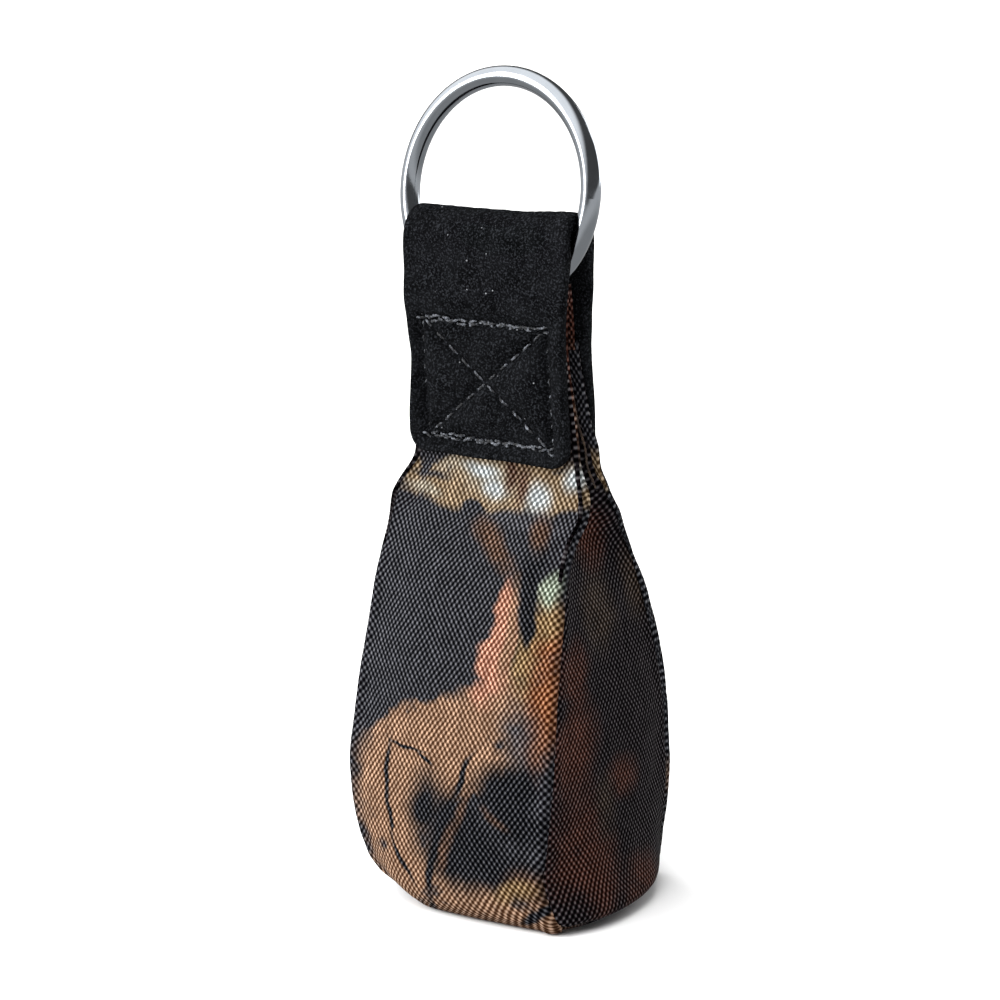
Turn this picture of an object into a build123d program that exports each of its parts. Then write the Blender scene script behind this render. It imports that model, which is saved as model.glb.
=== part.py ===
from build123d import *
import os

# Weighted training bumper: a small camouflage-cloth pouch full of steel shot that stands on its own
# base, closed at the neck by a leather tab that is folded over a round steel ring.
# Millimetres, +Z up. X runs across the front panel and the front faces -Y. The origin is the centre
# of the flat base.

# Pouch, outside sizes
HALF_WIDTH_BASE = 20.8
HALF_WIDTH_BELLY = 24.3
HALF_WIDTH_WAIST = 22.0
HALF_WIDTH_SHOULDER = 22.6
HALF_WIDTH_NECK = 17.9
HALF_DEPTH_BELLY = 21.8
HALF_DEPTH_WAIST = 15.6
HALF_DEPTH_NECK = 2.9
HEIGHT_BELLY_WIDE = 26.0
HEIGHT_BELLY_DEEP = 34.0
HEIGHT_WAIST = 64.0
HEIGHT_NECK = 83.0
HEIGHT_SHOULDER = 84.0
HEIGHT_NECK_SIDES = 92.0
COVER_TOP = 114.0
BASE_EDGE_R = 6.0
BELLY_R = 60.0
WAIST_R = 30.0
NECK_R = 10.0
SHOULDER_R = 5.0

# Cloth, liner and fill
COVER_THICKNESS = 0.8
PANEL_GAP = 0.05
SEAM_THREAD = 0.8
SEAM_THREAD_GAP = 0.1
LINER_INSET = 1.9
LINER_THICKNESS = 0.5
LINER_TOP = 104.0
FILL_GAP = 0.1
FILL_TOP = 54.0

# Leather tab, folded over the ring
TAB_WIDTH = 36.5
TAB_THICKNESS = 2.0
TAB_GAP = 7.8
TAB_TOP = 136.9
TAB_BOTTOM = 88.4
TAB_CORNER_R = 4.5
FOLD_CORNER_R = 1.5

# Thread rows: the box with a cross through it on each flap, and the two closing rows in the neck
BOX_LEFT = -14.5
BOX_RIGHT = 15.2
BOX_BOTTOM = 92.8
BOX_TOP = 115.2
BOX_THREAD_WIDTH = 0.9
BOX_THREAD_DEPTH = 0.5
THREAD_CLEARANCE = 0.05
MOUTH_ROW_HEIGHT = 108.0
MOUTH_ROW_LENGTH = 32.0
LINER_ROW_HEIGHT = 100.0
LINER_ROW_LENGTH = 28.0
ROW_THREAD_WIDTH = 0.8
ROW_THREAD_DEPTH = 0.6

# Ring, standing in the fold
RING_INNER_DIAMETER = 40.0
RING_WIRE_DIAMETER = 4.0
RING_CENTRE = (-0.9, 1.7, 140.4)
RING_LEAN_BACK = 8.4
RING_TURN = -3.2

# Beyond every solid, for cuts
FAR = 200.0


def rounded_outline(half_points, radii):
    """Face bounded by the right-hand points, from the bottom up, and their mirror image.
    radii gives the fillet at each point, 0 for a sharp corner."""
    mirrored = [(-x, z) for x, z in reversed(half_points)]
    face = Polygon(*half_points, *mirrored, align=None)
    for (x, z), radius in zip(half_points, radii):
        if radius > 0:
            corners = [v for v in face.vertices() if abs(abs(v.X) - x) < 0.01 and abs(v.Y - z) < 0.01]
            face = fillet(corners, radius)
    return face


def side_outline():
    """Pouch seen from the side: Y across, Z up, open past the top of the neck."""
    points = [
        (HALF_DEPTH_BELLY, 0),
        (HALF_DEPTH_BELLY, HEIGHT_BELLY_DEEP),
        (HALF_DEPTH_WAIST, HEIGHT_WAIST),
        (HALF_DEPTH_NECK, HEIGHT_NECK),
        (HALF_DEPTH_NECK, FAR),
    ]
    return rounded_outline(points, [BASE_EDGE_R, BELLY_R, WAIST_R, NECK_R, 0])


def front_outline():
    """Pouch seen from the front: X across, Z up, open past both ends."""
    slope = (HALF_WIDTH_BELLY - HALF_WIDTH_BASE) / HEIGHT_BELLY_WIDE
    points = [
        (HALF_WIDTH_BASE - slope * 10, -10),
        (HALF_WIDTH_BELLY, HEIGHT_BELLY_WIDE),
        (HALF_WIDTH_WAIST, HEIGHT_WAIST),
        (HALF_WIDTH_SHOULDER, HEIGHT_SHOULDER),
        (HALF_WIDTH_NECK, HEIGHT_NECK_SIDES),
        (HALF_WIDTH_NECK, FAR),
    ]
    return rounded_outline(points, [0, BELLY_R, BELLY_R, SHOULDER_R, SHOULDER_R, 0])


def drawn_in(outline, inset):
    """The outline moved inwards by inset."""
    return offset(outline, amount=-inset, kind=Kind.INTERSECTION) if inset else outline


def side_prism(inset):
    """The side outline drawn in by inset and run across the whole width."""
    return extrude(Plane.YZ * drawn_in(side_outline(), inset), amount=FAR, both=True)


def front_prism(inset):
    """The front outline drawn in by inset and run through the whole depth."""
    return extrude(Plane.XZ * drawn_in(front_outline(), inset), amount=FAR, both=True)


def below(height):
    """Everything under a height."""
    return Pos(0, 0, height) * Box(FAR, FAR, 2 * FAR, align=(Align.CENTER, Align.CENTER, Align.MAX))


def right_half():
    """Everything on the +X side."""
    return Box(FAR, 2 * FAR, 4 * FAR, align=(Align.MIN, Align.CENTER, Align.CENTER))


def cover_wrap():
    """One panel of cloth: up the front, under the base and up the back."""
    band = side_prism(0) - side_prism(COVER_THICKNESS)
    return band & front_prism(0) & below(COVER_TOP)


def right_gusset():
    """Side panel between the front and the back of the wrap."""
    wall = front_prism(0) - front_prism(COVER_THICKNESS)
    between = side_prism(COVER_THICKNESS + PANEL_GAP)
    return wall & between & right_half() & below(COVER_TOP)


def right_seam_thread():
    """Thread down the front corner, under the base and up the back corner, inside the seam."""
    outer = COVER_THICKNESS + SEAM_THREAD_GAP
    inner = outer + SEAM_THREAD
    along_wrap = side_prism(outer) - side_prism(inner)
    along_gusset = front_prism(outer) - front_prism(inner)
    return along_wrap & along_gusset & right_half() & below(COVER_TOP)


def liner():
    """Inner bag that holds the shot, with its neck gathered flat between the cover's plies."""
    inner = LINER_INSET + LINER_THICKNESS
    outside = side_prism(LINER_INSET) & front_prism(LINER_INSET)
    inside = side_prism(inner) & front_prism(inner)
    return (outside - inside) & below(LINER_TOP)


def shot_fill():
    """Bulk of the steel shot, settled level in the liner."""
    inset = LINER_INSET + LINER_THICKNESS + FILL_GAP
    return side_prism(inset) & front_prism(inset) & below(FILL_TOP)


def leather_tab():
    """One strip of leather: front flap, fold over the ring, back flap."""
    inner_r = TAB_GAP / 2
    outer_r = inner_r + TAB_THICKNESS
    fold_z = TAB_TOP - outer_r
    flap_height = fold_z - TAB_BOTTOM
    outer = Pos(0, TAB_BOTTOM) * Rectangle(2 * outer_r, flap_height, align=(Align.CENTER, Align.MIN))
    outer += Pos(0, fold_z) * Circle(outer_r)
    slot = Pos(0, TAB_BOTTOM - 1) * Rectangle(TAB_GAP, flap_height + 1, align=(Align.CENTER, Align.MIN))
    slot += Pos(0, fold_z) * Circle(inner_r)
    strip = extrude(Plane.YZ * (outer - slot), amount=TAB_WIDTH / 2, both=True)
    face = Pos(0, TAB_BOTTOM) * Rectangle(TAB_WIDTH, TAB_TOP - TAB_BOTTOM, align=(Align.CENTER, Align.MIN))
    low = face.vertices().group_by(Axis.Y)[0]
    face = fillet(low, TAB_CORNER_R)
    high = face.vertices().group_by(Axis.Y)[-1]
    face = fillet(high, FOLD_CORNER_R)
    return strip & extrude(Plane.XZ * face, amount=FAR, both=True)


def thread_run(start, end):
    """Flat face of one run of thread between two points of a flap, with round ends."""
    run = Vector(*end) - Vector(*start)
    middle = (Vector(*start) + Vector(*end)) / 2
    angle = Vector(1, 0).get_signed_angle(run, Vector(0, 0, 1))
    return Pos(middle) * Rot(0, 0, angle) * SlotCenterToCenter(run.length, BOX_THREAD_WIDTH)


def box_thread(side):
    """Box of thread with a cross through it, lying on one flap. side is -1 in front, +1 behind."""
    low_left = (BOX_LEFT, BOX_BOTTOM)
    low_right = (BOX_RIGHT, BOX_BOTTOM)
    high_left = (BOX_LEFT, BOX_TOP)
    high_right = (BOX_RIGHT, BOX_TOP)
    pattern = thread_run(low_left, low_right) + thread_run(high_left, high_right)
    pattern += thread_run(low_left, high_left) + thread_run(low_right, high_right)
    pattern += thread_run(low_left, high_right) + thread_run(low_right, high_left)
    flat = extrude(Plane.XZ * pattern, amount=BOX_THREAD_DEPTH / 2, both=True)
    face = TAB_GAP / 2 + TAB_THICKNESS
    return Pos(0, side * (face + THREAD_CLEARANCE + BOX_THREAD_DEPTH / 2), 0) * flat


def closing_rows(length, height, half_stack):
    """Front and back thread of a straight row that closes a flattened neck."""
    bar = Box(length, ROW_THREAD_DEPTH, ROW_THREAD_WIDTH)
    reach = half_stack + THREAD_CLEARANCE + ROW_THREAD_DEPTH / 2
    return Compound([Pos(0, side * reach, height) * bar for side in (-1, 1)])


def ring():
    """Welded ring of round steel wire, standing in the fold and leaning slightly back."""
    hoop = Torus((RING_INNER_DIAMETER + RING_WIRE_DIAMETER) / 2, RING_WIRE_DIAMETER / 2)
    return Pos(*RING_CENTRE) * Rot(0, 0, RING_TURN) * Rot(90 - RING_LEAN_BACK, 0, 0) * hoop


gusset = right_gusset()
seam_thread = right_seam_thread()
parts = {
    "ring": ring(),
    "leather_tab": leather_tab(),
    "front_box_thread": box_thread(-1),
    "back_box_thread": box_thread(1),
    "cover_wrap": cover_wrap(),
    "right_gusset": gusset,
    "left_gusset": mirror(gusset, about=Plane.YZ),
    "right_seam_thread": seam_thread,
    "left_seam_thread": mirror(seam_thread, about=Plane.YZ),
    "mouth_thread": closing_rows(MOUTH_ROW_LENGTH, MOUTH_ROW_HEIGHT, HALF_DEPTH_NECK),
    "liner": liner(),
    "liner_thread": closing_rows(LINER_ROW_LENGTH, LINER_ROW_HEIGHT, HALF_DEPTH_NECK - LINER_INSET),
    "shot_fill": shot_fill(),
}

os.makedirs("parts", exist_ok=True)
for name, shape in parts.items():
    export_step(shape, f"parts/{name}.step")
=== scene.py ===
import math

import bpy
import numpy as np
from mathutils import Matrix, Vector, noise


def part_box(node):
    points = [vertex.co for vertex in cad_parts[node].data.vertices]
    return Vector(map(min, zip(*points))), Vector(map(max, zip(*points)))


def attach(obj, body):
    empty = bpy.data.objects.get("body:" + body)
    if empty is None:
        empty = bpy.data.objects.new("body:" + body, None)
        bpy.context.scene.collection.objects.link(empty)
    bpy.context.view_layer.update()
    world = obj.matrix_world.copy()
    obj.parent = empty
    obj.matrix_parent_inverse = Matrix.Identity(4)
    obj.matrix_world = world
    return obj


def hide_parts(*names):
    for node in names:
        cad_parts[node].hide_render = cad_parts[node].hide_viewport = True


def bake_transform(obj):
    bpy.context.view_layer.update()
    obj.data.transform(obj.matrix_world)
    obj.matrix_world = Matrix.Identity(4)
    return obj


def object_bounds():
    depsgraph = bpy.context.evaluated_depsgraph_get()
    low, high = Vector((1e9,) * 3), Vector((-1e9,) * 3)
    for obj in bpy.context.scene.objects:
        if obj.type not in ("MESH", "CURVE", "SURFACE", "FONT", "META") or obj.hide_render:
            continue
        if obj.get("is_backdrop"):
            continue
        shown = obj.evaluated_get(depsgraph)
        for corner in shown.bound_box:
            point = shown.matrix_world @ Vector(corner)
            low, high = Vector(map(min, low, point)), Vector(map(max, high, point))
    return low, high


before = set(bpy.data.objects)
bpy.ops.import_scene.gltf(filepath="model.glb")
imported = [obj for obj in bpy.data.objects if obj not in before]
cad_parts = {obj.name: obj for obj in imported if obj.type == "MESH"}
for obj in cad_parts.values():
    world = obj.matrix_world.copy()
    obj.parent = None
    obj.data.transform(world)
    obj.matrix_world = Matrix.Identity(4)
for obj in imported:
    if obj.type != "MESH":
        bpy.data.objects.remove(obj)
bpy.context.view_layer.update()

# A stuffed cloth pouch with a suede tab sewn over its neck and a steel ring in the tab's fold.
# Shapes are worked out in millimetres in the row's frame and turned into metres in new_object().
MM = 0.001


# ---------------------------------------------------------------- sizes from the frame
def node_box(name):
    low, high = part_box(name)
    return np.array(low) / MM, np.array(high) / MM


COVER_HIGH = node_box("cover_wrap")[1]
TAB_LOW, TAB_HIGH = node_box("leather_tab")
RING_LOW, RING_HIGH = node_box("ring")
BOX_LOW, BOX_HIGH = node_box("front_box_thread")
MOUTH_LOW, MOUTH_HIGH = node_box("mouth_thread")
LINER_ROW_LOW, LINER_ROW_HIGH = node_box("liner_thread")
FILL_HIGH = node_box("shot_fill")[1]
LINER_HIGH = node_box("liner")[1]

NECK_TOP = COVER_HIGH[2] - 1.0
RING_CENTRE = (RING_LOW + RING_HIGH) / 2
RING_OUTER = 24.0

TAB_WIDTH = TAB_HIGH[0] - TAB_LOW[0]
LEATHER = 2.1
FOLD_RADIUS = (TAB_HIGH[1] - TAB_LOW[1]) / 2 - LEATHER / 2
FOLD_Z = TAB_HIGH[2] - FOLD_RADIUS - LEATHER / 2
FLAP = FOLD_Z - TAB_LOW[2]
TAB_LENGTH = 2 * FLAP + math.pi * FOLD_RADIUS
FLAP_CORNER = 4.5
STITCH_INSET = (BOX_HIGH[1] - BOX_LOW[1]) * 0.9
STITCH_LEFT = BOX_LOW[0] + STITCH_INSET - 0.5
STITCH_RIGHT = BOX_HIGH[0] - STITCH_INSET - 0.8
STITCH_LOW = BOX_LOW[2] + STITCH_INSET - 0.9
STITCH_HIGH = BOX_HIGH[2] - STITCH_INSET
THREAD = 0.55

CLOTH = 0.7
LINER_INSET = 2.2
FILL_INSET = 2.9
SEAM_THREAD_INSET = 1.5

# The stuffed pouch leans towards this side
LEAN_DIRECTION = np.array([0.82, 0.57])


# ---------------------------------------------------------------- small maths
def smooth(t):
    t = np.clip(t, 0.0, 1.0)
    return t * t * (3 - 2 * t)


def step(a, b, t):
    return smooth((t - a) / (b - a))


def bump(t, centre, width):
    return np.exp(-(((t - centre) / width) ** 2))


def curve(points, t):
    """Smooth curve through (place, value) points, level beyond the end points."""
    xs = np.array([p[0] for p in points], float)
    ys = np.array([p[1] for p in points], float)
    slopes = np.gradient(ys, xs)
    t = np.clip(np.asarray(t, float), xs[0], xs[-1])
    i = np.clip(np.searchsorted(xs, t, side="right") - 1, 0, len(xs) - 2)
    h = xs[i + 1] - xs[i]
    f = (t - xs[i]) / h
    a = (1 + 2 * f) * (1 - f) ** 2 * ys[i] + f * (1 - f) ** 2 * h * slopes[i]
    b = f * f * (3 - 2 * f) * ys[i + 1] + f * f * (f - 1) * h * slopes[i + 1]
    return a + b


def noise_at(points, scale, seed=0.0):
    """Smooth noise between about -1 and 1 at each point, for features about scale millimetres wide."""
    points = np.asarray(points, float)
    flat = points.reshape(-1, 3) / scale + seed
    return np.array([noise.noise(Vector(p)) for p in flat]).reshape(points.shape[:-1])


def rounding(distance, radius):
    """How far a rounded edge of that radius draws in, at a distance from its end."""
    low = np.clip(1 - distance / radius, 0, 1)
    return radius * (1 - np.sqrt(np.maximum(1 - low * low, 0)))


def running_length(points):
    steps = np.linalg.norm(np.diff(points, axis=0), axis=1)
    return np.concatenate([[0], np.cumsum(steps)])


# ---------------------------------------------------------------- meshes
def new_object(name, vertices, faces, cloth=None):
    """Smooth mesh object from points in millimetres. cloth is each vertex's place on the flat cloth,
    in millimetres, kept in the UV map named cloth."""
    mesh = bpy.data.meshes.new(name)
    mesh.from_pydata((np.asarray(vertices) * MM).tolist(), [], faces)
    mesh.update()
    if cloth is not None:
        layer = mesh.uv_layers.new(name="cloth")
        index = np.zeros(len(mesh.loops), np.int32)
        mesh.loops.foreach_get("vertex_index", index)
        layer.data.foreach_set("uv", np.asarray(cloth, np.float32)[index].ravel())
    mesh.polygons.foreach_set("use_smooth", np.ones(len(mesh.polygons), bool))
    obj = bpy.data.objects.new(name, mesh)
    bpy.context.scene.collection.objects.link(obj)
    return obj


def grid_normals(grid):
    n = np.cross(np.gradient(grid, axis=0), np.gradient(grid, axis=1))
    return n / np.maximum(np.linalg.norm(n, axis=2, keepdims=True), 1e-9)


def grid_faces(rows, cols, first=0, flip=False):
    faces = []
    for r in range(rows - 1):
        for c in range(cols - 1):
            a = first + r * cols + c
            quad = (a, a + cols, a + cols + 1, a + 1)
            faces.append(quad[::-1] if flip else quad)
    return faces


def grid_border(rows, cols):
    """A grid's outer edge, in order."""
    bottom = list(range(cols))
    right = [r * cols + cols - 1 for r in range(1, rows)]
    top = [(rows - 1) * cols + c for c in range(cols - 2, -1, -1)]
    left = [r * cols for r in range(rows - 2, 0, -1)]
    return bottom + right + top + left


def sheet_faces(rows, cols, first=0):
    """Faces of a closed sheet: a grid of points for its face, another for its back, and the edge."""
    count = rows * cols
    faces = grid_faces(rows, cols, first) + grid_faces(rows, cols, first + count, flip=True)
    edge = grid_border(rows, cols)
    for a, b in zip(edge, edge[1:] + edge[:1]):
        faces.append((first + a, first + b, first + b + count, first + a + count))
    return faces


def sheet_object(name, face, back, cloth):
    """Closed sheet between two grids. Seen from its face, rows run one way and columns to the right
    of it, so that grid_normals() of the face point outwards."""
    flat = np.asarray(cloth).reshape(-1, 2)
    vertices = np.concatenate([face.reshape(-1, 3), back.reshape(-1, 3)])
    return new_object(name, vertices, sheet_faces(*face.shape[:2]), np.concatenate([flat, flat]))


def tube_points(path, radius, sides, turn=0.0, offset=0.0):
    """Rings of points round a path. offset and turn wind a ply round the path's own line."""
    path = np.asarray(path, float)
    along = np.gradient(path, axis=0)
    along /= np.maximum(np.linalg.norm(along, axis=1, keepdims=True), 1e-9)
    upright = abs(along[len(along) // 2][2]) >= 0.8
    helper = np.array([0.9, 0.4, 0.1] if upright else [0.31, 0.17, 0.94])
    first = np.cross(along, helper)
    first /= np.linalg.norm(first, axis=1, keepdims=True)
    second = np.cross(along, first)
    length = running_length(path)
    angle = turn + 2 * math.pi * length / (THREAD * 3.4)
    centre = path + offset * (np.cos(angle)[:, None] * first + np.sin(angle)[:, None] * second)
    around = np.linspace(0, 2 * math.pi, sides, endpoint=False)
    taper = np.ones(len(path))
    taper[0] = taper[-1] = 0.55
    ring = np.cos(around)[None, :, None] * first[:, None] + np.sin(around)[None, :, None] * second[:, None]
    return centre[:, None] + ring * (radius * taper)[:, None, None]


def thread_object(name, paths, thickness=THREAD, plies=2, sides=6):
    """One mesh of twisted thread, a separate closed piece of it for each path."""
    vertices = []
    faces = []
    count = 0
    for path in paths:
        for ply in range(plies):
            rings = tube_points(path, thickness * 0.31, sides, 2 * math.pi * ply / plies, thickness * 0.22)
            n = len(rings)
            for r in range(n - 1):
                for s in range(sides):
                    a = count + r * sides + s
                    b = count + r * sides + (s + 1) % sides
                    faces.append((a, a + sides, b + sides, b))
            faces.append(tuple(count + s for s in range(sides)))
            faces.append(tuple(count + (n - 1) * sides + s for s in reversed(range(sides))))
            vertices.append(rings.reshape(-1, 3))
            count += n * sides
    return new_object(name, np.concatenate(vertices), faces)


# ---------------------------------------------------------------- the pouch's shape
# (height, value) at the corners of the pouch's section, and how far its faces swell between them
HALF_WIDTH = ((0, 21.4), (8, 22.3), (18, 23.6), (28, 24.2), (40, 23.9), (50, 23.3), (60, 22.7),
              (69, 22.2), (75, 22.2), (80, 23.2), (84, 22.4), (88, 20.4), (93, 19.5), (100, 18.9),
              (108, 17.9), (130, 17.2))
HALF_DEPTH = ((0, 21.2), (8, 22.0), (20, 21.8), (34, 20.4), (45, 19.2), (55, 16.9), (62, 15.0),
              (69, 12.5), (75, 9.2), (80, 6.1), (86, 3.8), (92, 2.8), (100, 2.5), (110, 2.2), (130, 1.7))
LEAN = ((0, 2.4), (30, 2.2), (55, 2.5), (68, 2.0), (79, 1.4), (88, 1.1), (115, -0.2), (130, 0.0))
FACE_SWELL = ((0, 3.0), (8, 3.6), (20, 3.4), (35, 3.2), (55, 2.4), (70, 1.6), (80, 1.0), (88, 0.3),
              (130, 0.0))
SIDE_SWELL = ((0, 6.6), (3, 7.4), (8, 6.4), (15, 4.4), (25, 2.5), (38, 1.4), (50, 0.4), (62, -0.8),
              (70, -2.4), (77, -4.4), (84, -5.6), (90, -6.0), (130, -4.0))


def middle(z):
    """Centre of the section at each height."""
    return curve(LEAN, z)[..., None] * LEAN_DIRECTION


def wrap_point(share, z, side, inset=0.0):
    """Point of the wrap at a share of its width, -1 to 1, and a height. side is -1 for the front."""
    if side < 0:
        radius = 4.5 + 5.5 * step(-0.1, -1.0, share) - 0.5 * step(0.5, 1.0, share)
        corner = 1.8 + 18.0 * step(0.0, -1.0, share)
        flare = 4.2 * step(13.0, 0.0, z) * step(-0.3, 1.0, share)
        flare = flare - (0.2 + 1.6 * bump(z, 86, 5.0) + 1.3 * bump(z, 13, 10)) * step(0.0, -1.0, share)
    else:
        radius = 5.5 + 1.0 * step(0.2, 1.0, share) + 2.0 * step(-0.2, -1.0, share)
        corner = 3.2 + 1.0 * step(0.0, 1.0, share)
        flare = 1.0 * bump(z, 92, 4.0) - 1.0 * bump(z, 82, 4.0)
    half = curve(HALF_WIDTH, z) - inset - 0.8 * rounding(z, corner) + flare
    depth = curve(HALF_DEPTH, z) - inset - rounding(z, radius)
    depth = depth + curve(FACE_SWELL, z) * (1 - np.abs(share) ** 2.2)
    centre = middle(z)
    return np.stack([centre[..., 0] + share * half, centre[..., 1] + side * depth, z + 0 * half], axis=-1)


def cross_shares(cols):
    """Shares of the width from -1 to 1, closer together near the seams."""
    even = np.linspace(-1, 1, cols)
    return 0.6 * even + 0.4 * np.sin(even * math.pi / 2)


def wrap_grid(inset=0.0, top=NECK_TOP, cols=109, spacing=0.75):
    """The wrap's points, down the front, under the base and up the back, with their places on the cloth."""
    share = cross_shares(cols)
    base_arc = 11.0
    straight = np.linspace(top, base_arc, int((top - base_arc) / spacing))
    turn = np.linspace(0, math.pi / 2, 22)[1:]
    low = base_arc * (1 - np.sin(turn))
    heights = np.concatenate([straight, low])
    front = np.array([wrap_point(share, np.full(cols, z), -1, inset) for z in heights])
    back = np.array([wrap_point(share, np.full(cols, z), 1, inset) for z in heights[::-1]])
    across = np.linspace(0, 1, 44)[1:-1, None, None]
    base = front[-1] * (1 - across) + back[0] * across
    spread = (curve(SIDE_SWELL, 0.0) - 1.2) * (1 - np.abs(2 * across[..., 0] - 1) ** 2.4)
    base[..., 0] += spread * (share * np.abs(share) ** 3)[None, :]
    grid = np.concatenate([front, base, back])
    grid[..., 2] += inset * step(12.0, 0.0, grid[..., 2])
    length = running_length(grid[:, cols // 2])
    wide = running_length(front[len(straight) // 2])
    cloth = np.zeros(grid.shape[:2] + (2,))
    cloth[..., 0] = (wide - wide[cols // 2]) * ((grid[:, -1, 0] - grid[:, 0, 0]) / wide[-1])[:, None]
    cloth[..., 1] = (length[len(heights) - 1] - length)[:, None]
    return grid, cloth


def gusset_grid(side, inset=0.0, top=NECK_TOP, cols=71, spacing=0.75):
    """Side panel between the wrap's edges, from the top down. side is 1 for +X and -1 for -X."""
    share = cross_shares(cols)
    heights = np.linspace(top, 0.9, int(top / spacing))
    edge = np.full(len(heights), float(side))
    front = wrap_point(edge, heights, -1, inset)
    back = wrap_point(edge, heights, 1, inset)
    mix = ((share + 1) / 2)[None, :, None]
    grid = front[:, None] * (1 - mix) + back[:, None] * mix
    fold = 2.4 - 1.3 * step(70, 88, heights)
    swell = 1 - np.abs(share)[None, :] ** fold[:, None]
    grid[..., 0] += side * (curve(SIDE_SWELL, heights)[:, None] * swell)
    cloth = np.stack([grid[..., 1], grid[..., 2]], axis=-1)
    return grid, cloth


def slack(points, distance):
    """How far the cloth stands off its smooth shape: long soft waves, small dents and seam puckers."""
    z = points[..., 2]
    body = step(2.0, 12.0, z) * (1 - step(84, 92, z))
    waves = 0.55 * noise_at(points * [1, 1, 0.55], 15.0, 3.1)
    waves = waves + 0.22 * noise_at(points * [1, 1, 0.8], 6.0, 7.7)
    neck = bump(z, 80.0, 9.0) * 0.5 * noise_at(points * [1, 1, 0.16], 3.4, 1.3)
    pucker = 0.3 * noise_at(points, 2.3, 5.5) * np.exp(-distance / 2.6) * step(0.3, 1.5, distance)
    return body * waves + neck + pucker * (1 - step(86, 90, z))


def make_cover():
    grid, cloth = wrap_grid()
    share = np.abs(cross_shares(grid.shape[1]))[None, :]
    half = (grid[:, -1:, 0] - grid[:, :1, 0]) / 2
    distance = (1 - share) * half
    normals = grid_normals(grid)
    in_body = 1 - step(86, 91, grid[..., 2])
    roll = 0.5 * bump(distance, 1.5, 0.9) - 0.85 * bump(distance, 0.0, 0.5)
    roll = roll * (1 - 0.6 * step(62, 72, grid[..., 2]))
    front = grid[..., 1] < middle(grid[..., 2])[..., 1]
    face = grid + normals * (roll * in_body + slack(grid, distance))[..., None]
    lip = np.where(front, 0.35, 1.15) * bump(distance, 0.7, 0.8) * (1 - step(60, 72, grid[..., 2]))
    side = np.sign(cross_shares(grid.shape[1]))[None, :]
    face[..., 0] += side * lip
    face[..., 2] = np.maximum(face[..., 2], 0.0)
    flat_base = step(1.4, 0.2, grid[..., 2])
    face[..., 2] -= flat_base * np.maximum(face[..., 2] - 0.25, 0) * 0.8
    back = face - normals * CLOTH
    back[..., 2] = np.maximum(back[..., 2], 0.0)
    return sheet_object("cover", face, back, cloth)


def make_gusset(name, side):
    grid, cloth = gusset_grid(side)
    if side < 0:
        grid, cloth = grid[:, ::-1], cloth[:, ::-1]
    share = np.abs(cross_shares(grid.shape[1]))[None, :]
    half = np.abs(grid[:, -1:, 1] - grid[:, :1, 1]) / 2
    distance = (1 - share) * half
    normals = grid_normals(grid)
    in_body = 1 - step(84, 90, grid[..., 2])
    roll = 0.25 * bump(distance, 2.0, 1.0) - 0.75 * bump(distance, 0.0, 0.8)
    foot = -1.2 * step(3.0, 0.5, grid[..., 2])
    face = grid + normals * ((roll + foot) * in_body + slack(grid, distance))[..., None]
    back = face - normals * CLOTH
    face[..., 2] = np.maximum(face[..., 2], 0.15)
    back[..., 2] = np.maximum(back[..., 2], 0.1)
    return sheet_object(name, face, back, cloth)


def inner_bag(name, inset, low, high, lumps=0.0):
    """Closed bag or heap inside the cover, drawn in from it by inset."""
    share = np.linspace(-1, 1, 33)
    heights = np.linspace(high, low, int((high - low) / 1.6))
    loops = []
    for z in heights:
        front = wrap_point(share, np.full(33, z), -1, inset)
        back = wrap_point(share[::-1], np.full(33, z), 1, inset)
        narrow = (1.5 + np.maximum(-curve(SIDE_SWELL, z), 0)) * step(52, 66, z)
        front[:, 0] -= narrow * share
        back[:, 0] -= narrow * share[::-1]
        if z > 80:
            front[:, 1] = np.minimum(front[:, 1], middle(np.array([z]))[0, 1] - 0.35)
            back[:, 1] = np.maximum(back[:, 1], middle(np.array([z]))[0, 1] + 0.35)
        loops.append(np.concatenate([front, back]))
    grid = np.array(loops)
    if lumps:
        centre = grid.mean(axis=1, keepdims=True)
        out = grid - centre
        out /= np.linalg.norm(out, axis=2, keepdims=True)
        grid = grid + out * (lumps * noise_at(grid, 2.2, 9.0))[..., None]
    rows, cols = grid.shape[:2]
    faces = []
    for r in range(rows - 1):
        for c in range(cols):
            a = r * cols + c
            b = r * cols + (c + 1) % cols
            faces.append((a, a + cols, b + cols, b))
    vertices = list(grid.reshape(-1, 3))
    for row, order in ((0, 1), (rows - 1, -1)):
        centre = len(vertices)
        vertices.append(grid[row].mean(axis=0))
        for c in range(cols):
            triangle = (row * cols + c, row * cols + (c + 1) % cols, centre)
            faces.append(triangle[::order])
    return new_object(name, vertices, faces)


def make_seam_thread(name, side):
    """Thread of a corner seam: down the front corner, under the base and up the back corner."""
    heights = np.linspace(NECK_TOP - 1, 2.2, 150)
    edge = np.full(len(heights), 0.97 * side)
    front = wrap_point(edge, heights, -1, SEAM_THREAD_INSET)
    back = wrap_point(edge, heights[::-1], 1, SEAM_THREAD_INSET)
    across = np.linspace(0, 1, 40)[1:-1, None]
    base = front[-1] * (1 - across) + back[0] * across
    return thread_object(name, [np.concatenate([front, base, back])], thickness=0.6)


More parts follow.
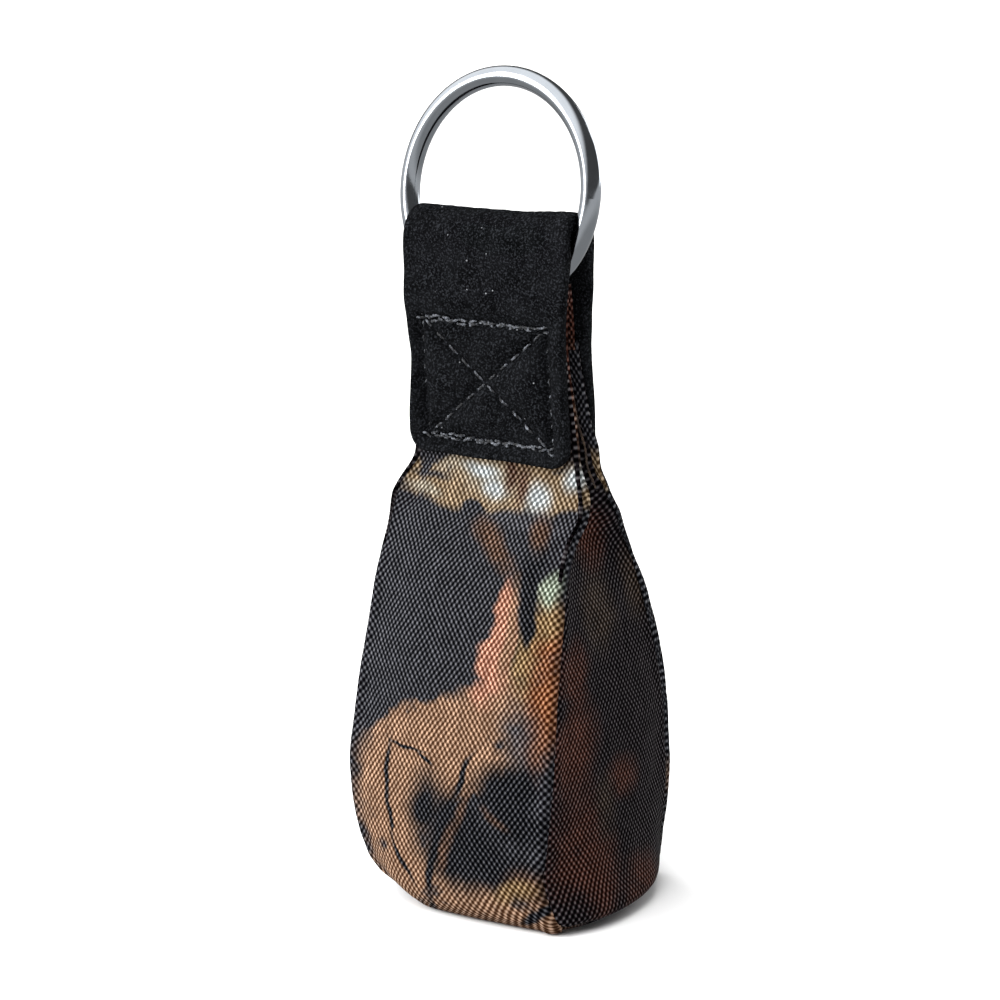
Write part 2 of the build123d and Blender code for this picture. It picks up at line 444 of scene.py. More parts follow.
def make_closing_rows(name, low, high, depth):
    """Row of stitches across a flat neck, front and back."""
    paths = []
    z = (low[2] + high[2]) / 2
    shift = middle(np.array([z]))[0]
    for side in (-1, 1):
        for x in np.arange(low[0] + 1.4, high[0] - 1.0, 2.8):
            reach = np.linspace(-1.2, 1.2, 9)
            rise = 0.25 * (1 - (reach / 1.2) ** 4)
            row = np.stack([shift[0] + x + reach, shift[1] + side * (depth + rise), z + 0 * reach], axis=-1)
            paths.append(row)
    return thread_object(name, paths, thickness=0.5)


# ---------------------------------------------------------------- the suede tab
def stitch_distance(x, z):
    """Distance from a flap's point to the nearest line of stitching."""
    corners = [
        (STITCH_LEFT, STITCH_LOW),
        (STITCH_RIGHT, STITCH_LOW),
        (STITCH_RIGHT, STITCH_HIGH),
        (STITCH_LEFT, STITCH_HIGH),
    ]
    pairs = [(0, 1), (1, 2), (2, 3), (3, 0), (0, 2), (1, 3)]
    nearest = np.full(np.shape(x), 1e9)
    for a, b in pairs:
        ax, az = corners[a]
        bx, bz = corners[b]
        wide, high = bx - ax, bz - az
        along = np.clip(((x - ax) * wide + (z - az) * high) / (wide**2 + high**2), 0, 1)
        nearest = np.minimum(nearest, np.hypot(x - ax - along * wide, z - az - along * high))
    return nearest


def tab_middle(x, s):
    """Point in the middle of the leather and its outward normal, at x across and s along the strip,
    from the front flap's lower edge over the fold to the back flap's."""
    x, s = np.broadcast_arrays(np.asarray(x, float), np.asarray(s, float))
    angle = np.clip((s - FLAP) / FOLD_RADIUS, 0, math.pi)
    over = s > FLAP + math.pi * FOLD_RADIUS / 2
    z = np.where(s < FLAP, TAB_LOW[2] + s, FOLD_Z + FOLD_RADIUS * np.sin(angle))
    z = np.where(s > FLAP + math.pi * FOLD_RADIUS, TAB_LOW[2] + TAB_LENGTH - s, z)
    normal = np.stack([0 * x, -np.cos(angle), np.sin(angle)], axis=-1)
    sewn = step(STITCH_HIGH + 6, STITCH_HIGH - 1, z)
    y = -FOLD_RADIUS * np.cos(angle) * (1 - 0.2 * sewn)
    side = np.where(over, 1.0, -1.0)
    splay = 0.5 * np.abs(x / 18.0) ** 5 * sewn + 0.5 * step(STITCH_LOW, TAB_LOW[2], z)
    y = y + side * splay
    shift = middle(z)
    sway = 0.25 * noise_at(np.stack([0 * x + side * 9, 0 * x, z], axis=-1), 9.0, 2.2)
    lift = 0.7 * step(2.0, 18.0, x) * step(118.0, 134.0, z)
    return np.stack([x + shift[..., 0] + sway, y + shift[..., 1], z + lift], axis=-1), normal


def tab_puff(x, z):
    """How far a flap's outer face stands off the plain leather: dents along the stitching, with soft
    cells between."""
    away = stitch_distance(x, z)
    inside = step(STITCH_HIGH + 3, STITCH_HIGH - 1, z)
    cells = 0.5 * step(0.8, 5.0, away) * inside
    column = np.minimum(np.abs(x - STITCH_LEFT), np.abs(x - STITCH_RIGHT))
    uneven = 1 + noise_at(np.stack([x, 0 * x, z], axis=-1), 1.6, 2.0)
    dent = 0.8 + 0.35 * np.exp(-((column / 1.5) ** 2)) * uneven
    return cells - dent * np.exp(-((away / 0.85) ** 2)) - 0.4 * np.exp(-((away / 2.2) ** 2))


def make_tab():
    ends = np.array([0, 0.12, 0.3, 0.55, 0.9, 1.3, 1.8, 2.4, 3.0, 3.7])
    s = np.concatenate([ends, np.linspace(4.3, TAB_LENGTH - 4.3, 300), TAB_LENGTH - ends[::-1]])
    margin = np.array([0, 0.006, 0.016, 0.03, 0.05])
    t = np.concatenate([-1 + margin, np.linspace(-0.93, 0.93, 118), 1 - margin[::-1]])
    from_end = np.minimum(s, TAB_LENGTH - s)
    half = TAB_WIDTH / 2 + 0.5 - rounding(from_end, FLAP_CORNER)
    waver = 0.22 * noise_at(np.stack([0 * s, 0 * s, s], axis=-1), 5.5, 4.0)
    x = t[None, :] * (half + waver)[:, None]
    drawn_in = 0.2 * step(4, 14, from_end) + 1.1 * bump(from_end, 19, 9)
    x = x + step(0, -1, t)[None, :] * drawn_in[:, None]
    x = x + step(0, 1, t)[None, :] * (1.0 * bump(s, FLAP - 3, 8))[:, None]
    along = np.repeat(s[:, None], len(t), axis=1)
    ragged = 0.25 * noise_at(np.stack([x, 0 * x, 0 * x + 3], axis=-1), 6.0, 8.0)
    along = along + ragged * (bump(along, 0, 3.0) + bump(along, TAB_LENGTH, 3.0))
    centre, normal = tab_middle(x, along)
    z = centre[..., 2]
    edge = np.minimum((1 - np.abs(t))[None, :] * half[:, None], from_end[:, None])
    round_off = np.sqrt(np.maximum(1 - np.clip(1 - edge / 0.7, 0, 1) ** 2, 0))
    thick = LEATHER / 2 * (0.5 + 0.5 * round_off)
    nap = 0.1 * noise_at(centre, 1.4, 6.0) + 0.16 * noise_at(centre, 4.5, 1.0)
    face = centre + normal * (thick + (tab_puff(x, z) + nap) * step(0.0, 0.8, edge))[..., None]
    back = centre - normal * thick[..., None]
    cloth = np.stack([x, along], axis=-1)
    return sheet_object("tab", face[:, ::-1], back[:, ::-1], cloth[:, ::-1])


def stitch_path(start, end, side, lift):
    """One stitch lying on a flap from start to end, its ends drawn down into the leather."""
    share = np.linspace(0, 1, 9)
    x = start[0] + (end[0] - start[0]) * share
    z = start[1] + (end[1] - start[1]) * share
    s = z - TAB_LOW[2] if side < 0 else TAB_LENGTH - (z - TAB_LOW[2])
    centre, normal = tab_middle(x, s)
    height = LEATHER / 2 + tab_puff(x, z) + lift - 0.75 * np.abs(2 * share - 1) ** 3.0
    return centre + normal * height[:, None]


def stitch_run(start, end, pitch, side, rng, messy=0.0, lift=0.3):
    """Stitches one after another along a straight line of a flap."""
    start = np.array(start)
    end = np.array(end)
    length = np.linalg.norm(end - start)
    along = (end - start) / length
    across = np.array([-along[1], along[0]])
    count = max(1, round(length / pitch))
    paths = []
    for i in range(count):
        a = start + along * (length * i / count + 0.12 * pitch) + across * messy * rng.normal()
        b = start + along * (length * (i + 1) / count - 0.1 * pitch) + across * messy * rng.normal()
        paths.append(stitch_path(a, b, side, lift + 0.05 * rng.normal()))
    return paths


def make_box_stitches(name, side):
    """Box of stitches with a cross through it. The top and bottom rows are sewn twice and overshoot."""
    rng = np.random.default_rng(4 + side)
    left, right, low, high = STITCH_LEFT, STITCH_RIGHT, STITCH_LOW, STITCH_HIGH
    paths = []
    for z in (low, high):
        paths += stitch_run((left - 1.3, z - 0.2), (right + 0.8, z + 0.2), 2.5, side, rng, 0.22, 0.35)
        paths += stitch_run((left + 0.6, z + 0.5), (right + 1.2, z - 0.4), 2.1, side, rng, 0.3, 0.5)
        paths += stitch_run((left + 2.0, z - 0.5), (right - 3.0, z + 0.1), 3.1, side, rng, 0.35, 0.45)
    for x in (left, right):
        paths += stitch_run((x, low), (x, high), 2.9, side, rng, 0.1, -0.15)
    paths += stitch_run((left + 1.0, low + 0.5), (right - 0.8, high - 0.5), 3.6, side, rng, 0.06, 0.16)
    paths += stitch_run((left, high), (right - 0.8, low), 3.6, side, rng, 0.06, 0.16)
    return thread_object(name, paths)


def make_neck_edges():
    """Ends of the cover's gathered neck, up between the flaps to just under the ring."""
    cols = 81
    x = np.linspace(-17.3, 17.3, cols)
    reach = np.sqrt(np.maximum((RING_OUTER + 0.5) ** 2 - (x - RING_CENTRE[0]) ** 2, 0))
    top = np.minimum(RING_CENTRE[2] - reach, 126.0)
    rows = np.linspace(0, 1, 26)
    vertices = []
    faces = []
    cloth = []
    for side, tip in ((-1, -1.3), (1, -0.1)):
        z = NECK_TOP - 2 + (top - NECK_TOP + 2)[None, :] * rows[:, None]
        shift = middle(z)
        y = side * 1.5 + (tip - side * 1.5) * step(NECK_TOP, 126, z)
        face = np.stack([x[None, :] + shift[..., 0], y + shift[..., 1], z], axis=-1)
        face[..., 1] += 0.25 * noise_at(face, 4.0, 3.0 + side)
        if side < 0:
            face = face[::-1]
        back = face - grid_normals(face) * CLOTH * 0.8
        faces += sheet_faces(len(rows), cols, sum(len(points) for points in vertices))
        vertices += [face.reshape(-1, 3), back.reshape(-1, 3)]
        flat = np.stack([face[..., 0], face[..., 2]], axis=-1).reshape(-1, 2)
        cloth += [flat, flat]
    return new_object("neck_edges", np.concatenate(vertices), faces, np.concatenate(cloth))


# ---------------------------------------------------------------- materials
WARP = 0.56
WEFT = 0.80


class Shader:
    """A node material and short calls that add and link its nodes."""

    def __init__(self, name):
        self.material = bpy.data.materials.new(name)
        self.material.use_nodes = True
        self.tree = self.material.node_tree
        self.surface = self.tree.nodes["Principled BSDF"]

    def put(self, socket, value):
        if isinstance(value, bpy.types.NodeSocket):
            self.tree.links.new(value, socket)
        elif isinstance(value, tuple) and len(value) == 3 and socket.type == "RGBA":
            socket.default_value = (*value, 1.0)
        else:
            socket.default_value = value

    def set(self, name, value):
        self.put(self.surface.inputs[name], value)

    def math(self, operation, a, b=0.0, c=0.0):
        node = self.tree.nodes.new("ShaderNodeMath")
        node.operation = operation
        for socket, value in zip(node.inputs, (a, b, c)):
            self.put(socket, value)
        return node.outputs[0]

    def vector(self, operation, a, b=(0.0, 0.0, 0.0)):
        node = self.tree.nodes.new("ShaderNodeVectorMath")
        node.operation = operation
        self.put(node.inputs[0], a)
        self.put(node.inputs[1], b)
        return node.outputs["Value"] if operation in ("LENGTH", "DISTANCE") else node.outputs[0]

    def times(self, vector, scale):
        node = self.tree.nodes.new("ShaderNodeVectorMath")
        node.operation = "SCALE"
        self.put(node.inputs[0], vector)
        self.put(node.inputs["Scale"], scale)
        return node.outputs[0]

    def noise(self, vector, size, detail=2.0, roughness=0.5):
        """Noise for features about size millimetres wide: its value and its colour."""
        node = self.tree.nodes.new("ShaderNodeTexNoise")
        self.put(node.inputs["Vector"], vector)
        node.inputs["Scale"].default_value = 1.0 / size
        node.inputs["Detail"].default_value = detail
        node.inputs["Roughness"].default_value = roughness
        return node.outputs[0], node.outputs[1]

    def specks(self, vector, size):
        """Distance to the nearest of scattered points, and a random colour for each."""
        node = self.tree.nodes.new("ShaderNodeTexVoronoi")
        self.put(node.inputs["Vector"], vector)
        node.inputs["Scale"].default_value = 1.0 / size
        return node.outputs["Distance"], node.outputs["Color"]

    def ranged(self, value, low, high, to_low=0.0, to_high=1.0):
        node = self.tree.nodes.new("ShaderNodeMapRange")
        node.interpolation_type = "SMOOTHSTEP"
        names = ("Value", "From Min", "From Max", "To Min", "To Max")
        for name, item in zip(names, (value, low, high, to_low, to_high)):
            self.put(node.inputs[name], item)
        return node.outputs[0]

    def mix(self, factor, a, b):
        """Colour a where the factor is 0, b where it is 1."""
        node = self.tree.nodes.new("ShaderNodeMix")
        node.data_type = "RGBA"
        self.put(node.inputs[0], factor)
        self.put(node.inputs[6], a)
        self.put(node.inputs[7], b)
        return node.outputs[2]

    def cloth_place(self):
        """Place on the flat cloth, in millimetres."""
        node = self.tree.nodes.new("ShaderNodeUVMap")
        node.uv_map = "cloth"
        return node.outputs[0]

    def object_place(self):
        """Place in the object, in millimetres."""
        node = self.tree.nodes.new("ShaderNodeTexCoord")
        return self.times(node.outputs["Object"], 1000.0)

    def relief(self, height, depth, strength=1.0, under=None):
        """Bump of a height from 0 to 1, depth millimetres deep."""
        node = self.tree.nodes.new("ShaderNodeBump")
        node.inputs["Distance"].default_value = depth * MM
        node.inputs["Strength"].default_value = strength
        self.put(node.inputs["Height"], height)
        if under is not None:
            self.put(node.inputs["Normal"], under)
        return node.outputs[0]


def weave(shader, place):
    """Plain weave: 1 on the crown of a printed yarn, -1 in the dark crossing between them."""
    jitter = shader.vector("SUBTRACT", shader.noise(place, 2.6)[1], (0.5, 0.5, 0.5))
    place = shader.vector("ADD", place, shader.times(jitter, 0.34))
    split = shader.tree.nodes.new("ShaderNodeSeparateXYZ")
    shader.put(split.inputs[0], place)
    across = shader.math("MULTIPLY", split.outputs[0], math.pi / WARP)
    along = shader.math("MULTIPLY", split.outputs[1], math.pi / WEFT)
    rising = shader.math("COSINE", shader.math("SUBTRACT", across, along))
    falling = shader.math("COSINE", shader.math("ADD", across, along))
    slant = shader.ranged(shader.noise(place, 11.0, 1.0)[0], 0.35, 0.65, 0.42, 0.63)
    falling = shader.math("MULTIPLY", falling, shader.math("SUBTRACT", 1.0, slant))
    return shader.math("MULTIPLY_ADD", rising, slant, falling)


def wandering(shader, place, far, near):
    """The place, pushed about so that a print's edges are irregular."""
    coarse = shader.vector("SUBTRACT", shader.noise(place, 13.0, 1.0)[1], (0.5, 0.5, 0.5))
    fine = shader.vector("SUBTRACT", shader.noise(place, 3.0, 3.0, 0.65)[1], (0.5, 0.5, 0.5))
    place = shader.vector("ADD", place, shader.times(coarse, far))
    return shader.vector("ADD", place, shader.times(fine, near))


def patch(shader, place, centre, size, angle, soft):
    """1 inside an oval patch of the print, 0 outside it."""
    node = shader.tree.nodes.new("ShaderNodeMapping")
    node.vector_type = "TEXTURE"
    shader.put(node.inputs["Vector"], place)
    node.inputs["Location"].default_value = (*centre, 0.0)
    node.inputs["Rotation"].default_value = (0.0, 0.0, math.radians(angle))
    node.inputs["Scale"].default_value = (*size, 1.0)
    return shader.ranged(shader.vector("LENGTH", node.outputs[0]), 1.0 + soft, 1.0 - soft)


def camouflage(name, ground, patches, brightness=0.7):
    """Printed plain-weave cloth. patches lists colour, centre, half sizes, angle and softness, in
    millimetres on the flat cloth, from the bottom layer of the print to the top one."""
    shader = Shader(name)
    flat = shader.cloth_place()
    lifted = shader.vector("MULTIPLY", flat, (1.0, 1.0, 0.0))
    place = wandering(shader, lifted, 4.5, 1.3)
    mottle = shader.ranged(shader.noise(lifted, 3.0, 4.0, 0.7)[0], 0.3, 0.7, 0.75, 1.3)
    colour = ground
    for tint, centre, size, angle, soft in patches:
        colour = shader.mix(patch(shader, place, centre, size, angle, soft), colour, tint)
    crown = weave(shader, lifted)
    # Painted highlight: the yarn crowns are lightened, and a painted sheen is added on them below.
    glint = shader.ranged(crown, 0.25, 1.0, 0.72, 1.1)
    thick = shader.vector("MULTIPLY", lifted, (1.0 / WARP, 0.12, 0.0))
    uneven = shader.ranged(shader.noise(thick, 1.0, 1.0)[0], 0.25, 0.75, 0.78, 1.22)
    light = shader.math("MULTIPLY", glint, shader.math("MULTIPLY", mottle, uneven))
    light = shader.math("MULTIPLY", light, brightness)
    sheen = shader.math("MULTIPLY", uneven, shader.ranged(crown, 0.3, 1.0, 0.0, 0.045))
    lit = shader.vector("ADD", shader.vector("MULTIPLY", colour, light), sheen)
    # Painted shade: the crossings between the yarns take this darker colour.
    deep = shader.vector("MULTIPLY", colour, shader.vector("ADD", colour, (0.06, 0.06, 0.06)))
    deep = shader.vector("MULTIPLY", deep, (0.16, 0.16, 0.16))
    shader.set("Base Color", shader.mix(shader.ranged(crown, -0.55, 0.6), deep, lit))
    shader.set("Roughness", shader.ranged(crown, -1.0, 1.0, 0.85, 0.5))
    shader.set("Specular IOR Level", shader.ranged(crown, 0.0, 1.0, 0.0, 0.16))
    shader.set("Normal", shader.relief(shader.ranged(crown, -1.0, 1.0), 0.16, 0.9))
    return shader.material


SLATE = (0.060, 0.061, 0.072)
INK = (0.026, 0.027, 0.034)
SMOKE = (0.105, 0.105, 0.120)
CREAM = (0.50, 0.44, 0.345)
WHITE = (0.68, 0.72, 0.73)
TAN = (0.44, 0.268, 0.17)
SAND = (0.40, 0.29, 0.18)
SALMON = (0.62, 0.315, 0.215)
RUST = (0.365, 0.148, 0.062)
GOLD = (0.38, 0.25, 0.12)
BROWN = (0.17, 0.095, 0.062)
MINT = (0.40, 0.46, 0.36)
CHAR = (0.028, 0.022, 0.026)
EMBER = (0.120, 0.046, 0.032)
UMBER = (0.080, 0.056, 0.042)


def front_cloth():
    """The wrap's print: pale band under the tab, slate bark, an orange flame of leaf and dark twigs, with
    some painted shade on the neck cloth between the flaps.
    """
    patches = [
        (SAND, (0, 92), (27, 7.5), 0, 0.15),
        (CREAM, (-9, 93), (5, 2.2), 5, 0.7),
        (CREAM, (0, 91.5), (6, 3.4), -30, 0.6),
        (WHITE, (-2, 93), (3.4, 1.3), -12, 0.8),
        (WHITE, (1.5, 89.6), (2.6, 1.5), -25, 0.8),
        (WHITE, (11.5, 88.6), (2.6, 3.0), 10, 0.7),
        (WHITE, (18.2, 94), (2.0, 2.6), -15, 0.7),
        (CREAM, (-15, 87.5), (4.5, 1.2), -6, 0.5),
        (BROWN, (7.6, 91), (1.4, 4.4), 5, 0.7),
        (SLATE, (-14, 90.5), (6, 1.0), 0, 0.5),
        (BROWN, (4.8, 93), (1.6, 4), 0, 0.5),
        (SMOKE, (10, 83.5), (8, 1.8), 0, 0.7),
        (BROWN, (5.5, 78), (8, 2.4), -42, 0.6),
        (BROWN, (14, 81), (1.8, 4.5), 12, 0.6),
        (TAN, (0, 37.5), (17, 10), 0, 0.12),
        (TAN, (-10, 24), (11.5, 17), 6, 0.25),
        (TAN, (12, 46), (9, 10), 0, 0.25),
        (TAN, (0, 4), (27, 10), 0, 0.2),
        (BROWN, (0, -1), (26, 6), 0, 0.8),
        (SALMON, (10.2, 60), (3.4, 10.5), -5, 0.2),
        (SALMON, (8.6, 54), (4.4, 7.5), -8, 0.3),
        (GOLD, (17.0, 58), (3.4, 7), 0, 0.5),
        (RUST, (21.0, 52), (3.2, 15), 2, 0.5),
        (GOLD, (19.5, 66), (2.6, 5), 0, 0.5),
        (MINT, (19.4, 70.5), (2.2, 3.8), -10, 0.5),
        (INK, (14.8, 74.5), (2.9, 5.5), 0, 0.25),
        (INK, (15.4, 67.5), (1.9, 7.5), 5, 0.2),
        (TAN, (12.2, 61), (1.3, 9), -3, 0.7),
        (SMOKE, (17, 43.5), (3.6, 5), 15, 0.9),
        (INK, (16.5, 29.5), (9, 8.5), 0, 0.35),
        (INK, (5.5, 20), (8.5, 10), -14, 0.35),
        (INK, (-2.5, 24), (4.5, 7.5), 0, 0.6),
        (INK, (13, 15.5), (8, 4.5), 0, 0.5),
        (BROWN, (12.5, 26), (2.6, 1.0), -38, 0.8),
        (BROWN, (5.6, 27), (0.9, 4.5), -18, 0.8),
        (BROWN, (2.4, 17.5), (1.1, 5), -14, 0.7),
        (BROWN, (18.5, 12.5), (3.6, 3.4), 30, 0.8),
        (GOLD, (16, 11.4), (3.4, 1.6), 24, 0.8),
        (INK, (17.5, 7.2), (5.5, 0.8), 30, 0.4),
        (INK, (-12.4, 31), (0.55, 6.5), 0, 0.5),
        (INK, (-11.6, 22), (0.55, 6), 9, 0.5),
        (INK, (-8.4, 13.6), (0.55, 6), 36, 0.5),
        (INK, (-8.3, 37), (4.5, 0.45), -6, 0.5),
        (INK, (-3.6, 35), (2.6, 0.45), -38, 0.5),
        (INK, (5.4, 33), (0.6, 6), -20, 0.5),
        (INK, (1.2, 21), (0.7, 8), -15, 0.5),
        (INK, (-1.8, 9), (1.2, 8), -9, 0.35),
        # These two darker patches, on the neck cloth between the flaps, are partly the print's colours and
        # partly painted shade.
        (BROWN, (18, 108), (5, 9), 0, 0.5),
        (EMBER, (17, 119), (4, 9), 0, 0.5),
        (TAN, (6, -66), (17, 11), 8, 0.2),
        (TAN, (-12, -54), (12, 9), 0, 0.3),
        (TAN, (-8, -78), (10, 7), 30, 0.3),
        (SALMON, (-11, -91), (3.6, 11), 6, 0.25),
        (RUST, (-20, -78), (3.2, 15), 0, 0.5),
        (GOLD, (-17, -96), (3.2, 6), 0, 0.5),
        (MINT, (-19.5, -101), (2.2, 3.5), 0, 0.5),
        (BROWN, (8, -98), (8, 6), -25, 0.7),
        (SMOKE, (2, -116), (11, 2.4), -10, 0.7),
        (INK, (14, -56), (8, 6), 10, 0.4),
        (INK, (-3, -58), (6, 5), -20, 0.5),
        (INK, (9, -70), (0.8, 8), -20, 0.4),
        (INK, (-9, -70), (0.8, 8), 24, 0.4),
        (INK, (1, -77), (5.5, 0.7), 10, 0.4),
        (SAND, (0, -134), (27, 7), 0, 0.15),
        (WHITE, (-9, -133), (5, 2.4), 8, 0.5),
        (WHITE, (8, -135), (4, 2.6), -12, 0.5),
    ]
    return camouflage("camouflage_cloth", SLATE, patches)


def side_cloth():
    """The side panels' print: nearly black bark with soft ember patches."""
    patches = [
        (UMBER, (0, 60), (5, 7), 0, 0.7),
        (EMBER, (1, 74), (5, 5), 0, 0.7),
        (EMBER, (-11, 51), (4.5, 5), 0, 0.7),
        (EMBER, (-12, 37), (6, 9), -10, 0.6),
        (EMBER, (3, 27), (5, 3.4), 0, 0.7),
        (EMBER, (-11, 14), (8, 12), 10, 0.6),
        (EMBER, (4, 6), (9, 4), 0, 0.7),
        (UMBER, (14, 64), (4, 6), 0, 0.7),
        (UMBER, (-4, 22), (3, 5), 0, 0.8),
    ]
    return camouflage("dark_camouflage_cloth", CHAR, patches)


def suede():
    shader = Shader("black_suede")
    place = shader.object_place()
    fibre = shader.noise(place, 0.42, 3.0, 0.6)[0]
    cloudy = shader.noise(place, 5.0, 3.0, 0.6)[0]
    tone = shader.mix(shader.ranged(cloudy, 0.3, 0.7), (0.0010, 0.0011, 0.0013), (0.0036, 0.0039, 0.0045))
    tone = shader.mix(shader.ranged(fibre, 0.46, 0.74), tone, (0.024, 0.026, 0.030))
    distance, random = shader.specks(place, 1.5)
    split = shader.tree.nodes.new("ShaderNodeSeparateXYZ")
    shader.put(split.inputs[0], random)
    chosen = shader.ranged(split.outputs[0], 0.88, 0.91)
    dust = shader.math("MULTIPLY", chosen, shader.ranged(distance, 0.14, 0.06))
    tone = shader.mix(shader.math("MULTIPLY", dust, 0.75), tone, (0.32, 0.33, 0.35))
    shader.set("Base Color", tone)
    shader.set("Roughness", 0.95)
    shader.set("Specular IOR Level", 0.02)
    coarse = shader.relief(cloudy, 0.5, 0.5)
    shader.set("Normal", shader.relief(fibre, 0.35, 1.0, coarse))
    return shader.material


def thread(name, dark, light):
    shader = Shader(name)
    place = shader.object_place()
    fibre = shader.noise(place, 0.16, 2.0, 0.6)[0]
    patchy = shader.ranged(shader.noise(place, 0.9)[0], 0.45, 0.6, 0.06, 1.0)
    # Painted glints: the light colour is laid on the thread's fibres in patches, a painted highlight.
    glint_mask = shader.math("MULTIPLY", shader.ranged(fibre, 0.35, 0.7), patchy)
    shader.set("Base Color", shader.mix(glint_mask, dark, light))
    shader.set("Roughness", 0.45)
    shader.set("Specular IOR Level", 0.5)
    shader.set("Normal", shader.relief(fibre, 0.06, 0.8))
    return shader.material


def steel():
    shader = Shader("polished_steel")
    place = shader.object_place()
    haze = shader.noise(place, 6.0, 3.0, 0.6)[0]
    drawn = shader.noise(shader.vector("MULTIPLY", place, (0.6, 6.0, 0.6)), 0.8, 3.0, 0.7)[0]
    shader.set("Base Color", shader.mix(haze, (0.26, 0.28, 0.305), (0.34, 0.36, 0.385)))
    shader.set("Metallic", 1.0)
    shader.set("Roughness", shader.ranged(haze, 0.3, 0.75, 0.08, 0.17))
    shader.set("Normal", shader.relief(drawn, 0.008, 0.5))
    return shader.material


def liner_cloth():
    shader = Shader("liner_cloth")
    place = shader.object_place()
    grain = shader.noise(place, 0.7, 2.0)[0]
    shader.set("Base Color", shader.mix(grain, (0.42, 0.39, 0.33), (0.6, 0.57, 0.5)))
    shader.set("Roughness", 0.9)
    shader.set("Normal", shader.relief(grain, 0.1))
    return shader.material


def shot():
    """Heap of round steel shot, 2.4 millimetres across."""
    shader = Shader("steel_shot")
    distance = shader.specks(shader.object_place(), 2.4)[0]
    # Painted shade: the gaps between the shot are coloured nearly black.
    gap_shade = shader.ranged(distance, 0.25, 0.6)
    shader.set("Base Color", shader.mix(gap_shade, (0.42, 0.42, 0.43), (0.03, 0.03, 0.03)))
    shader.set("Metallic", 0.9)
    shader.set("Roughness", shader.ranged(distance, 0.1, 0.6, 0.3, 0.7))
    shader.set("Normal", shader.relief(shader.ranged(distance, 0.6, 0.0), 1.2))
    return shader.material

# ---------------------------------------------------------------- pieces on their bodies
def dress(obj, material):
    obj.data.materials.clear()
    obj.data.materials.append(material)


def bend_at_neck(obj):
    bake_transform(obj)


def bend_at_loop(obj):
    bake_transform(obj)


FRONT_CLOTH = front_cloth()
SIDE_CLOTH = side_cloth()
# The second colour of each thread is its painted glint colour.
BROWN_THREAD = thread("brown_thread", (0.03, 0.018, 0.012), (0.12, 0.08, 0.05))
SLATE_THREAD = thread("slate_thread", (0.004, 0.0045, 0.0055), (0.24, 0.26, 0.30))

cover = make_cover()
dress(cover, FRONT_CLOTH)
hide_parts("cover_wrap")
bend_at_neck(cover)

for name, node, side in (("right_side", "right_gusset", 1), ("left_side", "left_gusset", -1)):
    gusset = make_gusset(name, side)
    dress(gusset, SIDE_CLOTH)
    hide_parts(node)
    bend_at_neck(gusset)

for name, node, side in (("right_seam", "right_seam_thread", 1), ("left_seam", "left_seam_thread", -1)):
    seam = make_seam_thread(name, side)
    dress(seam, BROWN_THREAD)
    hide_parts(node)
    bend_at_neck(seam)

tab = make_tab()
dress(tab, suede())
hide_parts("leather_tab")
bend_at_loop(tab)

for name, node, side in (("front_stitches", "front_box_thread", -1), ("back_stitches", "back_box_thread", 1)):
    stitches = make_box_stitches(name, side)
    dress(stitches, SLATE_THREAD)
    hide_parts(node)
    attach(stitches, "tab")

neck_edges = make_neck_edges()
dress(neck_edges, FRONT_CLOTH)
bend_at_loop(neck_edges)

liner = inner_bag("liner_bag", LINER_INSET, 1.6, LINER_HIGH[2])
dress(liner, liner_cloth())
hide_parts("liner")
bend_at_neck(liner)

heap = inner_bag("shot_heap", FILL_INSET, 2.6, FILL_HIGH[2], lumps=0.3)
dress(heap, shot())
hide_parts("shot_fill")
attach(heap, "bag")

for name, node, low, high, depth in (
    ("mouth_stitches", "mouth_thread", MOUTH_LOW, MOUTH_HIGH, 2.2),
    ("liner_stitches", "liner_thread", LINER_ROW_LOW, LINER_ROW_HIGH, 0.5),
):
    row = make_closing_rows(name, low, high, depth)
    dress(row, BROWN_THREAD)
    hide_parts(node)
    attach(row, "tab")

dress(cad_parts["ring"], steel())


# ---------------------------------------------------------------- camera, floor and light
def add_camera():
    azimuth = math.radians(34.67)
    elevation = math.radians(12.82)
    target = Vector((0.00042, 0.00029, 0.07943))
    back = Vector((math.sin(azimuth) * math.cos(elevation), -math.cos(azimuth) * math.cos(elevation),
                   math.sin(elevation)))
    data = bpy.data.cameras.new("camera")
    data.lens = 108.25
    data.sensor_width = 36.0
    camera = bpy.data.objects.new("camera", data)
    bpy.context.scene.collection.objects.link(camera)
    camera.location = target + back * 0.59285
    camera.rotation_mode = "QUATERNION"
    camera.rotation_quaternion = back.to_track_quat("Z", "Y")
    bpy.context.scene.camera = camera


def add_floor():
    size = 12.0
    corners = [(-size, -size), (size, -size), (size, size), (-size, size)]
    mesh = bpy.data.meshes.new("floor")
    mesh.from_pydata([(x, y, 0.0) for x, y in corners], [], [(0, 1, 2, 3)])
    floor = bpy.data.objects.new("floor", mesh)
    bpy.context.scene.collection.objects.link(floor)
    shader = Shader("pale_floor")
    grain = shader.noise(shader.object_place(), 40.0, 2.0)[0]
    shader.set("Base Color", shader.mix(grain, (0.93, 0.93, 0.93), (0.96, 0.96, 0.96)))
    shader.set("Roughness", 0.9)
    dress(floor, shader.material)
    floor.visible_glossy = False
    floor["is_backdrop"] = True


def add_light(name, location, size, power, colour=(1.0, 1.0, 1.0)):
    data = bpy.data.lights.new(name, "AREA")
    data.shape = "RECTANGLE"
    data.size, data.size_y = size
    data.energy = power
    data.color = colour
    light = bpy.data.objects.new(name, data)
    bpy.context.scene.collection.objects.link(light)
    light.location = location
    light.rotation_mode = "QUATERNION"
    light.rotation_quaternion = (Vector(location) - Vector((0, 0, 0.08))).to_track_quat("Z", "Y")


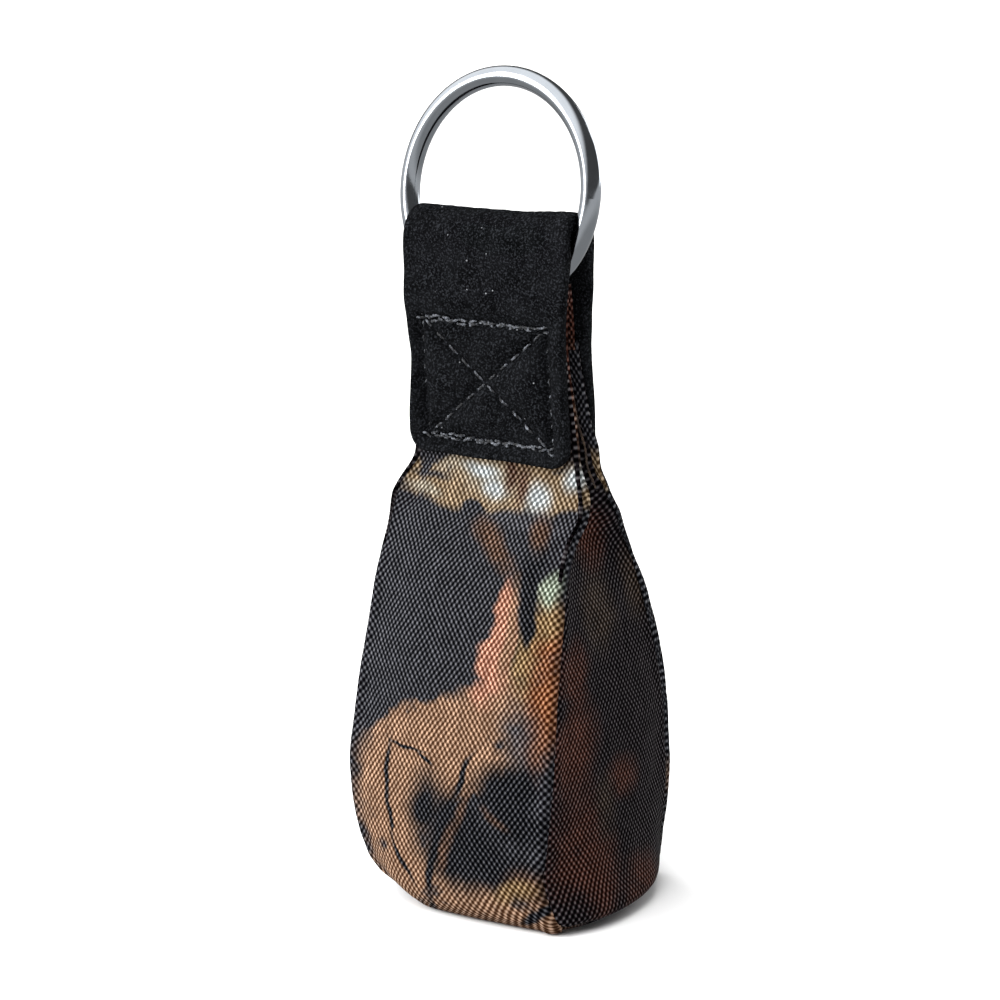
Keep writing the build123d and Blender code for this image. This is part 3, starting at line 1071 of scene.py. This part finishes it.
def add_sun(direction, strength, spread):
    """Broad distant light, coming from a direction, that lights the whole floor evenly."""
    data = bpy.data.lights.new("sun", "SUN")
    data.energy = strength
    data.angle = math.radians(spread)
    light = bpy.data.objects.new("sun", data)
    bpy.context.scene.collection.objects.link(light)
    light.rotation_mode = "QUATERNION"
    light.rotation_quaternion = Vector(direction).to_track_quat("Z", "Y")
    light.visible_glossy = False


def add_world():
    """Studio: a large soft light high on the left, dim elsewhere, pale at the horizon."""
    world = bpy.data.worlds.new("studio")
    bpy.context.scene.world = world
    world.use_nodes = True
    nodes = world.node_tree.nodes
    links = world.node_tree.links
    place = nodes.new("ShaderNodeTexCoord")
    towards = nodes.new("ShaderNodeVectorMath")
    towards.operation = "DOT_PRODUCT"
    towards.inputs[1].default_value = Vector((-0.5, -0.35, 0.79)).normalized()
    split = nodes.new("ShaderNodeSeparateXYZ")
    links.new(place.outputs["Generated"], towards.inputs[0])
    links.new(place.outputs["Generated"], split.inputs[0])
    levels = []
    for source, settings in (
        (towards.outputs["Value"], (0.50, 0.80, 0.13, 2.3)),
        (split.outputs[2], (0.07, 0.12, 0.95, 0.0)),
        (split.outputs[2], (-0.35, -0.04, 0.55, 1.0)),
    ):
        level = nodes.new("ShaderNodeMapRange")
        level.interpolation_type = "SMOOTHSTEP"
        for name, value in zip(("From Min", "From Max", "To Min", "To Max"), settings):
            level.inputs[name].default_value = value
        links.new(source, level.inputs["Value"])
        levels.append(level.outputs[0])
    horizon = nodes.new("ShaderNodeMath")
    horizon.operation = "MULTIPLY"
    links.new(levels[1], horizon.inputs[0])
    links.new(levels[2], horizon.inputs[1])
    brighter = nodes.new("ShaderNodeMath")
    brighter.operation = "MAXIMUM"
    links.new(levels[0], brighter.inputs[0])
    links.new(horizon.outputs[0], brighter.inputs[1])
    links.new(brighter.outputs[0], nodes["Background"].inputs["Strength"])
    nodes["Background"].inputs["Color"].default_value = (1.0, 1.0, 1.0, 1.0)


add_camera()
add_floor()
add_world()
add_sun((-0.3, -0.38, 0.88), 2.8, 90)
add_light("key", (-0.55, -0.65, 0.42), (0.3, 0.6), 5.0)
add_light("fill", (0.25, 0.9, 0.4), (0.6, 0.6), 4.0)
bpy.context.scene.view_settings.view_transform = "Standard"

low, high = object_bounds()
